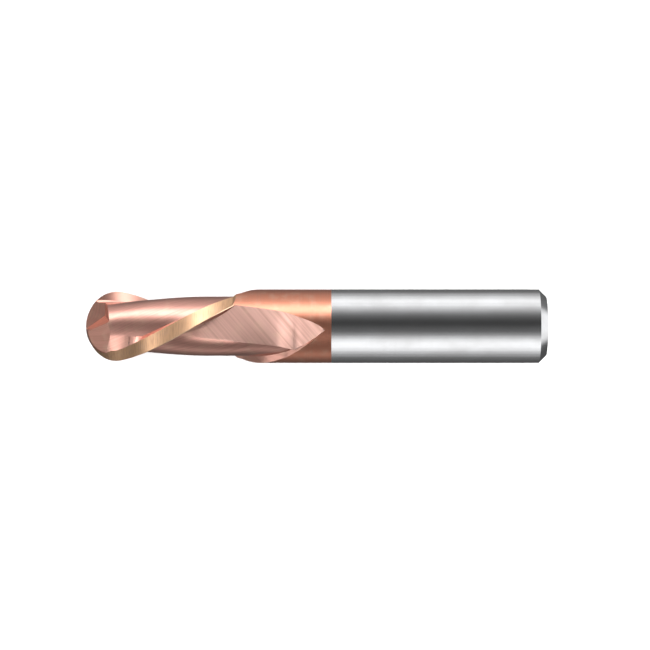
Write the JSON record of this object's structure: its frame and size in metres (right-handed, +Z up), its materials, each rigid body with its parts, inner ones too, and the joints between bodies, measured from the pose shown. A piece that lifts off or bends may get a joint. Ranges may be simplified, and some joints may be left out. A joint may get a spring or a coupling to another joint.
{
  "type": "ball-nose end mill",
  "caption": "Solid carbide ball-nose end mill: helical flutes and ball end in copper-coloured coating, bare ground cylindrical shank.",
  "frame": {"origin": "centre of the flat end face of the shank, on the tool's axis", "axes": "+X along the tool's axis, out of the tool through the shank end, so the ball tip is at -X; +Z up with the tool lying on its side, +Y completes the right-handed frame"},
  "size_m": [0.075, 0.012, 0.012],
  "materials": {
    "ground_carbide": "polished",
    "copper_coating": "satin"
  },
  "bodies": {
    "root": {"carbide_body": "ground_carbide", "coating": "copper_coating"}
  },
  "joints": []
}
